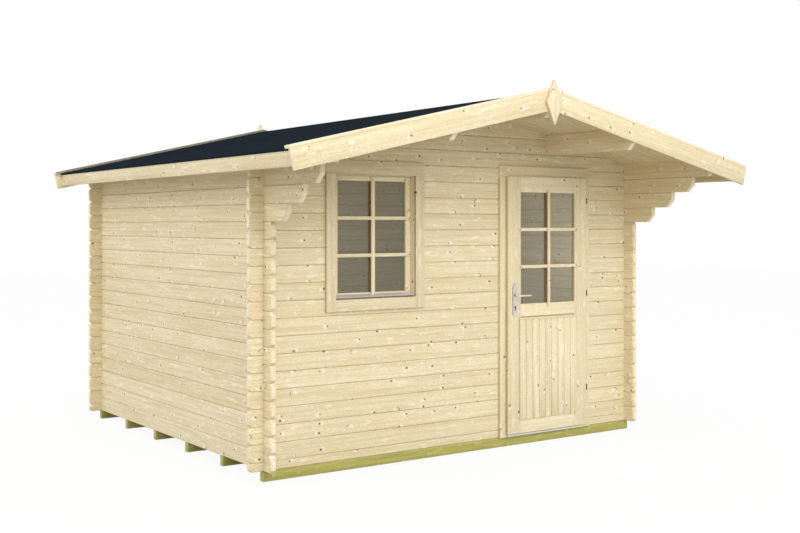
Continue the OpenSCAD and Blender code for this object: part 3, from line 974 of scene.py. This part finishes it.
for end in ("front", "rear"):
    y = spans(f"{end}_right_bargeboard")[Y]
    for side, hand in zip(SIDES, ("left", "right")):
        name = f"{end}_{hand}_bargeboard"
        o = verge(name + "_planed", side, y, (FELT_TOP - BARGE_H, FELT_TOP), barge_run, True)
        placed(o, spruce, "cabin", "spruce", name)
    name = f"{end}_verge_strips"
    heights = (FELT_TOP, FELT_TOP + STRIP_T)
    parts = [verge("strip", side, spans(name)[Y], heights, strip_run, False) for side in SIDES]
    strips = placed(joined(name + "_planed", parts), spruce, "cabin", "spruce", name)
    if end == "rear":
        # The rear strips' inner face gets a painted shade.
        faced(strips, strip_shade, lambda m, d: d.y < -0.9)

# %% [markdown]
# ## Finials
#
# The pointed board on each gable is a lozenge with blunt tips. A circle of four corners gives the
# lozenge, a little too tall, the outline is extruded to the board's thickness, and its upper and
# lower corners are sawn off.

# %% Finials
TOO_TALL = 1.045
for name in ("front_finial", "rear_finial"):
    low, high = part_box(name)
    bpy.ops.object.select_all(action="DESELECT")
    bpy.ops.mesh.primitive_circle_add(vertices=4, radius=1, fill_type="NGON", location=(0, 0, 0))
    o = bpy.context.object
    o.rotation_euler.x = math.radians(90)
    o.scale = ((high.x - low.x) / 2, (high.z - low.z) / 2 * TOO_TALL, 1)
    o.location = ((low.x + high.x) / 2, high.y, (low.z + high.z) / 2)
    settled(name + "_board")
    with editing(o):
        bpy.ops.mesh.select_all(action="SELECT")
        pull(0, low.y - high.y, 0)
        bpy.ops.mesh.select_all(action="SELECT")
        bpy.ops.mesh.normals_make_consistent(inside=False)
    for sign, z in ((1, high.z), (-1, low.z)):
        sawn(o, (0, 0, z), (0, 0, sign))
    placed(grained(eased(o, PLANED), unit(Z)), spruce, "cabin", "spruce", name)

# %% [markdown]
# ## Frames made of boards
#
# Casings, frames, sashes and trims are all rings of boards round an opening. In some the top lies
# over the uprights and in others between them, so one function takes the boards' widths and says
# which it is. A ring with no foot is open below.


# %% Ring of boards
def ring(outer, widths, y, top_over=True, saw=None):
    """Boards round an opening, inside an outline. widths are (side, foot, top)."""
    (x0, x1), (z0, z1) = outer
    side, foot, top = widths
    up = (z0, z1 - top if top_over else z1)
    parts = [board("upright", (x, x + side), y, up, Z, saw=saw) for x in (x0, x1 - side)]
    for z, inset in (((z0, z0 + foot), side), ((z1 - top, z1), 0 if top_over else side)):
        if z[1] > z[0]:
            parts.append(board("cross", (x0 + inset, x1 - inset), y, z, X, saw=saw))
    return parts


def outline(node):
    """A solid's outline seen from the front: from where to where along X and Z."""
    x, _, z = spans(node)
    return x, z


def splay(pane, y):
    """A cutter that widens an opening at 45 degrees from just behind its pane to the inside."""
    x, z = pane
    wider = 2 * (y[1] - y[0])
    o = block("splay", x, y, z)
    with editing(o):
        pick("FACE", lambda m, d: d.y > 0.9)
        bpy.ops.transform.resize(value=(1 + wider / (x[1] - x[0]), 1, 1 + wider / (z[1] - z[0])))
    return o


# %% [markdown]
# ## Window
#
# The casing lies on the logs outside. The frame lines the hole and the sash sits back in it, with
# the pane in the middle of its thickness. Behind the pane its edges are splayed, which lets in
# more light: a tapered cutter takes the splay out of each board.

# %% Window casing, frame and sash
CASING_SIDE, CASING_FOOT, CASING_TOP = 0.074, 0.078, 0.093
JAMB = 0.030
TRIM = 0.045 - HAIR
TRIM_T = 0.016
SASH_SIDE, SASH_FOOT, SASH_TOP = 0.040, 0.031, 0.033
SASH_PLAY = 0.002
FILL = SASH_PLAY - 0.0004

casing = ring(outline("window_casing"), (CASING_SIDE, CASING_FOOT, CASING_TOP), spans("window_casing")[Y])
placed(joined("window_casing_boards", casing), boarding, "cabin", "joinery", "window_casing")

sash_x, sash_y, sash_z = spans("window_sash")
head = WINDOW_Z[1] - sash_z[1] - SASH_PLAY
lining = ring((WINDOW_X, WINDOW_Z), (JAMB, JAMB, head), spans("window_frame")[Y], top_over=False)
trim_y = (FRONT_Y + THICK + HAIR, FRONT_Y + THICK + TRIM_T)
trim = ring(outline("window_frame"), (TRIM, TRIM, TRIM), trim_y)
placed(joined("window_frame_boards", lining + trim), joinery, "cabin", "joinery", "window_frame")

pane_box, pane_y = outline("window_glass"), spans("window_glass")[Y]
snug = [(low - FILL, high + FILL) for low, high in (sash_x, sash_z)]
saw = splay(pane_box, (pane_y[1], sash_y[1] + 0.001))
sash = ring(snug, (SASH_SIDE + FILL, SASH_FOOT + FILL, SASH_TOP + FILL), sash_y, top_over=False, saw=saw)
bpy.data.objects.remove(saw)
placed(joined("window_sash_rails", sash), joinery, "cabin", "joinery", "window_sash")

# %% [markdown]
# ## Window bars and their nails
#
# Slim bars are planted on both faces of the sash and make six panes out of one. Outside, a nail
# head holds each end. The uprights stand out a touch more than the cross bars, so that no faces
# coincide. The inside bars are painted deep brown on all but their faces towards the room: a
# painted shade for the shade behind the glass.

# %% Window bars
BAR_T, BAR_T_INSIDE = 0.011, 0.006
BAR_PROUD = 0.001
NAIL_R, NAIL_H = 0.0048, 0.0016


def bars(pane, y_outside, y_inside, lap, size):
    """Two cross bars and an upright, planted outside and inside over a pane's outline."""
    (x0, x1), (z0, z1) = pane
    height, width = size
    made = []
    for y, proud, ease in (((y_outside - BAR_T, y_outside), (-BAR_PROUD, 0), 0.003),
                           ((y_inside, y_inside + BAR_T_INSIDE), (0, BAR_PROUD), 0.002)):
        for k in (1, 2):
            z = around(z0 + (z1 - z0) * k / 3, height / 2)
            made.append(board("bar", (x0 - lap[0], x1 + lap[0]), y, z, X, ease, 3))
        y = (y[0] + proud[0], y[1] + proud[1])
        x = around((x0 + x1) / 2, width / 2)
        made.append(board("bar", x, y, (z0 - lap[1], z1 + lap[1]), Z, ease, 3))
    return made


def nails(name, pane, y, lap, body, node):
    """Nail heads at the ends of the bars: one at every end, outside."""
    (x0, x1), (z0, z1) = pane
    spots = [(x, z0 + (z1 - z0) * k / 3) for k in (1, 2) for x in (x0 - lap[0], x1 + lap[0])]
    spots += [((x0 + x1) / 2, z) for z in (z0 - lap[1], z1 + lap[1])]
    y = around(y, NAIL_H / 2)
    heads = [rod("nail", NAIL_R, x, y, z, sides=20, ease=NAIL_H / NAIL_R / 4) for x, z in spots]
    placed(joined(name, heads), dark_metal, body, "hinge_metal", node)


made = bars(pane_box, sash_y[0], pane_y[1], lap=(0.039, 0.030), size=(0.024, 0.030))
window_bars = placed(joined("window_bars", made), joinery, "cabin", "joinery", "window_sash")
# Painted shade on the inside bars, behind the pane.
faced(window_bars, bar_shade, lambda m, d: m.y > pane_y[1] - NEAR and d.y < 0.9)
nails("window_bar_nails", pane_box, sash_y[0] - BAR_T, (0.026, 0.018), "cabin", "window_sash")

# %% [markdown]
# ## Window sill strip
#
# A folded metal strip sheds the rain at the foot. It slopes outwards, and its front edge is
# undercut, so that drops fall off it. A dark bead fills the gap under it: a painted shadow.

# %% Window sill strip
DRIP_H = 0.0035
WINDOW_DRIP, DOOR_DRIP = 0.010, 0.022
STRIP_LIP = 0.006


def undercut(o, node, reach):
    """Cut a low step under the front of a metal strip."""
    x, y, z = spans(node)
    space = (x[0] - PAST, x[1] + PAST), (y[0] - PAST, y[0] + reach), (z[0] - PAST, z[0] + DRIP_H)
    carved(block("saw", *space), o)


low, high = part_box("window_sill_strip")
strip = block("window_sill_metal", *spans("window_sill_strip"))
with editing(strip):
    pick("EDGE", lambda m, d: abs(m.y - low.y) + abs(m.z - high.z) < NEAR)
    bpy.ops.transform.translate(value=(0, 0, low.z + STRIP_LIP - high.z))
undercut(strip, "window_sill_strip", WINDOW_DRIP)
placed(eased(strip, 0.0008), strip_metal, "cabin", "strip_metal", "window_sill_strip")
casing_foot = spans("window_casing")[Z][0] + CASING_FOOT
# A dark bead under the strip, as a painted shadow.
shadow_bead = block("window_sill_shadow_bead", (low.x, high.x), (FRONT_Y - 0.0025, FRONT_Y + 0.002),
             (casing_foot, low.z + NEAR))
placed(eased(shadow_bead, 0.0010, 3), sill_shadow, "cabin", "strip_metal", "window_sill_strip")

# %% [markdown]
# ## Door frame
#
# Casing and frame are made like the window's, but open at the foot, where a sill and a metal
# threshold lie between the jambs. The threshold is undercut like the window's strip, and three
# shallow reeds along its top are drawn as lines and pushed in.

# %% Door casing, frame and threshold
DOOR_CASING_SIDE, DOOR_CASING_TOP = 0.067, 0.088
NOSING = 0.003
REED_STEP, REED_START, REED_HALF = 0.006, 0.002, 0.001

casing = ring(outline("door_casing"), (DOOR_CASING_SIDE, 0, DOOR_CASING_TOP), spans("door_casing")[Y])
placed(joined("door_casing_boards", casing), joinery, "cabin", "joinery", "door_casing")

frame_x, frame_y, frame_z = spans("door_frame")
jambs = ring((DOOR_X, (LOG_Z, WINDOW_Z[1])), (JAMB, 0, JAMB), frame_y, top_over=False)
trim = ring((frame_x, (floor_z[1], frame_z[1])), (TRIM, 0, TRIM), trim_y)
sill = board("sill", (DOOR_X[0] + JAMB, DOOR_X[1] - JAMB), (FRONT_Y, FRONT_Y + THICK), (LOG_Z, floor_z[1]), X)
placed(joined("door_frame_boards", jambs + trim + [sill]), joinery, "cabin", "joinery", "door_frame")

low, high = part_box("door_threshold")
threshold = block("door_threshold_strip", *spans("door_threshold"))
undercut(threshold, "door_threshold", DOOR_DRIP)
chamfer(threshold, NOSING, lambda m, d: (
    abs(d.x) > 0.9 and m.y < low.y + NEAR and m.z > high.z - NEAR), rounds=3)
reeds = [low.y + REED_STEP * k + REED_START for k in (1, 2, 3)]
with editing(threshold):
    for y in reeds:
        for shift in (-REED_HALF, REED_HALF):
            scored((0, y + shift, 0), unit(Y))
    pick("FACE", lambda m, d: d.z > 0.99 and min(abs(m.y - y) for y in reeds) < REED_HALF * 0.9)
    pull(0, 0, -REED_HALF)
placed(threshold, threshold_metal, "cabin", "strip_metal", "door_threshold")

# %% [markdown]
# ## Door leaf: stiles and rails
#
# Two stiles and three rails are rebated, so that their outer lip laps the frame. The rebate is
# made by drawing lines on the back of a plain block and pulling the part inside them out. Behind
# the pane they are splayed like the sash, and the middle rail has a groove above the drip ledge.

# %% Stiles and rails
leaf_low, leaf_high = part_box("door_leaf")
glass_x, glass_y, glass_z = spans("door_glass")
LIP_T = 0.020
LIP = 0.018
PANEL_HALF = 0.288
PANEL_Z = (LOG_Z + 0.125, LOG_Z + 0.869)
RAIL_LAPS = (0.015, 0.020)
LEDGE_H, LEDGE_OUT, LEDGE_PAST, LEDGE_CUT = 0.0145, 0.0145, 0.006, 0.006
GROOVE_H, GROOVE_IN = 0.008, 0.014


def rebated(name, x, z):
    """A stile or rail of the leaf, with the rebate where it meets the leaf's outer edges."""
    o = block(name, x, (leaf_low.y, leaf_low.y + LIP_T), z)
    inside = {X: (leaf_low.x + LIP, leaf_high.x - LIP), Z: (leaf_low.z, leaf_high.z - LIP)}
    with editing(o):
        for axis in (X, Z):
            for line in inside[axis]:
                scored(unit(axis, line), unit(axis))
        pick("FACE", lambda m, d: d.y > 0.9 and all(inside[a][0] < m[a] < inside[a][1] for a in (X, Z)))
        pull(0, leaf_high.y - leaf_low.y - LIP_T, 0)
    return eased(o)


field = (glass_x[0], leaf_high.x - (glass_x[0] - leaf_low.x))
upright = (leaf_low.z, leaf_high.z)
stiles = [rebated("stile", x, upright) for x in ((leaf_low.x, field[0]), (field[1], leaf_high.x))]
rails = [rebated("rail", field, z) for z in (
    (leaf_low.z, PANEL_Z[0] + RAIL_LAPS[0]),
    (PANEL_Z[1] - RAIL_LAPS[1], glass_z[0]),
    (glass_z[1], leaf_high.z))]
carved(splay((glass_x, glass_z), (glass_y[1], leaf_high.y + 0.001)), *stiles, *rails[1:])
ledge_z = PANEL_Z[1] + LEDGE_H
groove = block("groove", (field[0] - 0.001, field[1] + 0.001),
               (leaf_low.y - 0.001, leaf_low.y + GROOVE_IN), (ledge_z, ledge_z + GROOVE_H))
carved(groove, rails[1])

# %% [markdown]
# The spindle hole is bored through the left stile before the leaf is joined.

# %% Spindle hole
lever_low, lever_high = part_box("door_lever")
plates_low, plates_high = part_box("handle_plates")
HANDLE_X = (plates_low.x + plates_high.x) / 2
LEVER_Z = (lever_low.z + lever_high.z) / 2
DRILL_R, DRILL_HALF = 0.006, 0.04
deep = around((leaf_low.y + leaf_high.y) / 2, DRILL_HALF)
carved(rod("drill", DRILL_R, HANDLE_X, deep, LEVER_Z, ease=0), stiles[0])
parts = [grained(o, unit(Z)) for o in stiles] + [grained(o, unit(X)) for o in rails]
placed(joined("door_leaf_frame", parts), joinery, "door", "joinery", "door_leaf")

# %% [markdown]
# ## Door leaf: boarded panel, ledge and bars
#
# Nine narrow boards are planted on the lower field, outside and inside, with a core between them,
# under a slim drip ledge. The pane has bars and nail heads like the window's.

# %% Boarded panel, ledge and bars
PANEL_BOARDS = 9
PANEL_T, PANEL_IN = 0.010, 0.012
SLAT_GAP, SLAT_CUT = 0.0015, 0.0045
door_mid = (leaf_low.x + leaf_high.x) / 2
step = 2 * PANEL_HALF / PANEL_BOARDS
parts = []
for y in (leaf_low.y - PANEL_T, leaf_high.y - PANEL_IN):
    x = door_mid - PANEL_HALF
    first = block("slat", (x, x + step - SLAT_GAP), (y, y + PANEL_T), PANEL_Z)
    chamfer(first, SLAT_CUT, lambda m, d: abs(d.z) > 0.9)
    eased(first, 0.0008, 1)
    parts += [grained(o, unit(Z)) for o in row(first, PANEL_BOARDS, (step, 0, 0))]
core_y = (leaf_low.y + 0.001, leaf_high.y - PANEL_IN - 0.001)
core_z = (PANEL_Z[0] + RAIL_LAPS[0] + HAIR, PANEL_Z[1] - RAIL_LAPS[1] - HAIR)
parts.append(board("core", (field[0] + HAIR, field[1] - HAIR), core_y, core_z, Z))
placed(joined("door_panel_boards", parts), joinery, "door", "joinery", "door_leaf")

ledge_y = leaf_low.y - LEDGE_OUT
ledge = block("door_drip_ledge", around(door_mid, PANEL_HALF + LEDGE_PAST), (ledge_y, leaf_low.y),
              (PANEL_Z[1] + HAIR, ledge_z))
chamfer(ledge, LEDGE_CUT, lambda m, d: m.y < ledge_y + NEAR and m.z > ledge_z - NEAR)
placed(grained(eased(ledge, 0.0012), unit(X), False), joinery, "door", "joinery", "door_leaf")

made = bars((glass_x, glass_z), leaf_low.y, glass_y[1], lap=(0.020, 0.020), size=(0.025, 0.027))
door_bars = placed(joined("door_bars", made), joinery, "door", "joinery", "door_leaf")
# Painted shade on the inside bars, behind the pane.
faced(door_bars, bar_shade, lambda m, d: m.y > glass_y[1] - NEAR and d.y < 0.9)
nails("door_bar_nails", (glass_x, glass_z), leaf_low.y - BAR_T, (0.010, 0.010), "door", "door_leaf")

# %% [markdown]
# ## Handle plates
#
# A plate starts as a short cylinder whose upper half is pulled up into a long round-ended shape.
# Each is a satin cover on a dark base, with a hole for the lever and one for the key cylinder,
# which is round above and narrow below. The base is a touch wider than the cover, and its dark rim
# is a painted shadow round it.

# %% Handle plates
PLATE_R = (plates_high.x - plates_low.x) / 2
COVER_T, COVER_IN = 0.0025, 0.0010
LEVER_HOLE_R = 0.0065
KEY_Z = LOG_Z + 0.964
KEY_R, SLOT_HALF, SLOT_H = 0.0082, 0.0050, 0.0250
KEY_PLAY, KEY_PROUD = 0.0002, 0.0008


def plate(y, radius):
    """A long round-ended plate with holes for the lever and the key cylinder."""
    foot = plates_low.z + PLATE_R
    o = rod("plate", radius, HANDLE_X, y, foot, sides=48, ease=0, turn=3.75)
    with editing(o):
        pick("VERT", lambda m, d: m.z > foot)
        bpy.ops.transform.translate(value=(0, 0, plates_high.z - plates_low.z - 2 * PLATE_R))
    eased(o, COVER_T * 0.35, 3)
    deep = (y[0] - 0.01, y[1] + 0.01)
    carved(rod("hole", LEVER_HOLE_R, HANDLE_X, deep, LEVER_Z, ease=0), o)
    carved(rod("hole", KEY_R + KEY_PLAY, HANDLE_X, deep, KEY_Z, ease=0), o)
    slot_x = around(HANDLE_X, SLOT_HALF + KEY_PLAY)
    carved(block("slot", slot_x, deep, (KEY_Z - SLOT_H - KEY_PLAY, KEY_Z)), o)
    return o


faces = ((plates_low.y, plates_low.y + COVER_T, leaf_low.y),
         (leaf_high.y, plates_high.y - COVER_T, plates_high.y))
covers = [plate(y, PLATE_R - COVER_IN) for y in (faces[0][:2], faces[1][1:])]
shadow_rims = [plate(y, PLATE_R) for y in (faces[0][1:], faces[1][:2])]
placed(joined("door_handle_plates", covers), handle_metal, "door", "handle_metal", "handle_plates")
# Dark rims round the covers: a painted shadow.
placed(joined("door_handle_shadow_rims", shadow_rims), dark_metal, "door", "handle_metal", "handle_plates")

keys = []
for y in ((plates_low.y - KEY_PROUD, leaf_low.y), (leaf_high.y, plates_high.y + KEY_PROUD)):
    keys.append(rod("key", KEY_R, HANDLE_X, y, KEY_Z, ease=0.08))
    deep = (y[0] + KEY_PLAY, y[1] - KEY_PLAY)
    foot = block("key_foot", around(HANDLE_X, SLOT_HALF), deep, (KEY_Z - SLOT_H, KEY_Z))
    keys.append(eased(foot, 0.0006))
# The key cylinders are dark all over: a painted shade for their keyholes.
placed(joined("door_key_cylinder", keys), dark_metal, "door", "hinge_metal", "handle_plates")

# %% [markdown]
# ## Lever
#
# The lever is a round neck that spins through a quarter turn into the grip, with a dark bush at
# its root. The same lever stands inside, on the same spindle.

# %% Lever
NECK_R, GRIP_R, BEND = 0.0085, 0.006, 0.012
COLLAR, TIP = 0.012, 0.004
BUSH_R, BUSH_T = 0.0089, 0.010
SPINDLE_R, LEVER_PLAY = 0.004, 0.001


def lever(sign, face):
    """One lever: a neck out from the plate, a bend, and a grip towards the hinges."""
    reach = abs((lever_low.y if sign < 0 else lever_high.y) - face)
    collar_y = face + sign * COLLAR
    o = rod("collar", NECK_R, HANDLE_X, sorted((face, collar_y)), LEVER_Z)
    with editing(o):
        pick("FACE", lambda m, d: d.y * sign > 0.9 and abs(m.y - collar_y) < NEAR)
        bpy.ops.mesh.inset(thickness=NECK_R * 0.88 - GRIP_R, depth=0)
        neck = reach - COLLAR - BEND - GRIP_R
        pull(0, sign * neck, 0)
        middle = (HANDLE_X + BEND, collar_y + sign * neck, LEVER_Z)
        bpy.ops.mesh.spin(steps=8, angle=math.pi / 2 * sign, center=middle, axis=(0, 0, 1))
        for length, share in ((lever_high.x - HANDLE_X - BEND - TIP, 0.85), (TIP, 0.6)):
            pull(length, 0, 0)
            bpy.ops.transform.resize(value=(1, share, share))
    return o


levers = [lever(-1, plates_low.y - LEVER_PLAY), lever(1, plates_high.y + LEVER_PLAY)]
levers.append(rod("spindle", SPINDLE_R, HANDLE_X, (plates_low.y, plates_high.y), LEVER_Z))
levers = placed(joined("door_levers", levers), lever_satin_and_reflection, "lever", "handle_metal", "door_lever")
print("The levers reach from", *(round(f(v.co.y for v in levers.data.vertices), 4) for f in (min, max)))
bushes = [rod("bush", BUSH_R, HANDLE_X, sorted((y, y + out)), LEVER_Z)
          for y, out in ((plates_low.y, -BUSH_T), (plates_high.y, BUSH_T))]
placed(joined("door_lever_bushes", bushes), dark_metal, "lever", "hinge_metal", "door_lever")

# %% [markdown]
# ## Solids that stay
#
# The panes and the hinges already have their real shape, so they only get their material.

# %% Solids that stay
for name, material in (("window_glass", glass), ("door_glass", glass),
                       ("frame_hinges", dark_metal), ("leaf_hinges", dark_metal)):
    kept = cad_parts[name]
    kept.data.materials.clear()
    kept.data.materials.append(material)
    print("Kept", name, "as", material.name)

# %% [markdown]
# ## Floor, daylight and camera
#
# A wide pale floor and an even white sky light the cabin from all round, as on an overcast day.
# Camera rays see plain white where the sky is, and the floor keeps a faint shadow.

# %% Floor and sky
FLOOR_GLOW, FLOOR_SHARE = 1.055, 0.88


def seen_directly(n):
    """1 for rays that show the background: straight, mirrored or through glass."""
    path = n.add("LightPath", output="Is Camera Ray")
    mirrored = path.maths("MAXIMUM", path.output("Is Glossy Ray"))
    return mirrored.maths("MAXIMUM", path.output("Is Transmission Ray"))


bpy.ops.object.select_all(action="DESELECT")
bpy.ops.mesh.primitive_plane_add(size=60, location=(0, 0, -0.001))
ground = bpy.context.object
ground.name = "studio_floor"
ground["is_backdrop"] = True
paper, n = material_nodes("white_paper")
seen = seen_directly(n)
matt = n.add("BsdfDiffuse", (), {"Color": (0.465, 0.465, 0.455, 1)})
white = n.add("Emission", (), {"Color": (1, 1, 1, 1), "Strength": FLOOR_GLOW})
n.add("OutputMaterial", (), {"Surface": n.add("MixShader", (), {0: seen * FLOOR_SHARE, 1: matt, 2: white})})
ground.data.materials.append(paper)

world = bpy.data.worlds.new("daylight")
bpy.context.scene.world = world
n = Nodes(world)
seen = seen_directly(n)
sky = n.add("Background", (), {"Color": (1.0, 1.0, 1.0, 1), "Strength": 1.02})
backdrop = n.add("Background", (), {"Color": (1, 1, 1, 1), "Strength": 1.0})
n.add("OutputWorld", (), {"Surface": n.add("MixShader", (), {0: seen, 1: sky, 2: backdrop})})

# %% [markdown]
# A large soft lamp in front and a smaller one on the left give the cabin bright sides. Three weak
# ones, which the camera doesn't see, lift the foot of the front and keep the room behind the
# panes from going black.


# %% Lamps
def lamp(name, place, target, size, power):
    """A soft square lamp that faces a target."""
    light = bpy.data.lights.new(name, "AREA")
    light.size, light.energy = size, power
    o = bpy.data.objects.new(name, light)
    bpy.context.scene.collection.objects.link(o)
    o.location = place
    o.rotation_euler = (Vector(target) - Vector(place)).to_track_quat("-Z", "Y").to_euler()
    return o


lamp("front_softbox", (-1.5, -8.8, 5.9), (0, 0, 1.2), 5.0, 340)
lamp("side_softbox", (-9.0, 1.5, 6.6), (-1.6, 0.4, 1.2), 4.0, 195)
for name, place, target, power in (("foot_fill", (0.9, -2.2, 0.3), (0.9, -1.1, -0.1), 1.5),
                                   ("door_fill", (0.95, -0.55, 1.45), (1.55, 0.25, 1.4), 5.9),
                                   ("window_fill", (-0.2, 0.7, 1.5), (1.1, 1.8, 1.5), 5.2)):
    lamp(name, place, target, 1.0, power).visible_camera = False

# %% [markdown]
# The camera stands at eye height and looks level, so that upright lines stay upright. Its picture
# is shifted a little downwards instead.

# %% Camera
camera_data = bpy.data.cameras.new("camera")
camera_data.lens, camera_data.sensor_width = 50.65, 36.0
camera_data.shift_y = -0.0529
camera = bpy.data.objects.new("camera", camera_data)
bpy.context.scene.collection.objects.link(camera)
camera.location = (-5.0815, -7.500, 1.650)
camera.rotation_euler = (math.radians(90), 0, math.radians(-35.126))
bpy.context.scene.camera = camera
bpy.context.scene.view_settings.view_transform = "Standard"

# %% [markdown]
# ## Sizes
#
# Both boxes, the construction's and the finished cabin's, are printed. The finished
# cabin may not reach past its construction.

# %% Sizes
low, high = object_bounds()
sizes = {"cad": [list(cad_low), list(cad_high)], "visual": [list(low), list(high)]}
for name, corners in sizes.items():
    print(f"Box of the {name}", [[round(v, 4) for v in corner] for corner in corners])
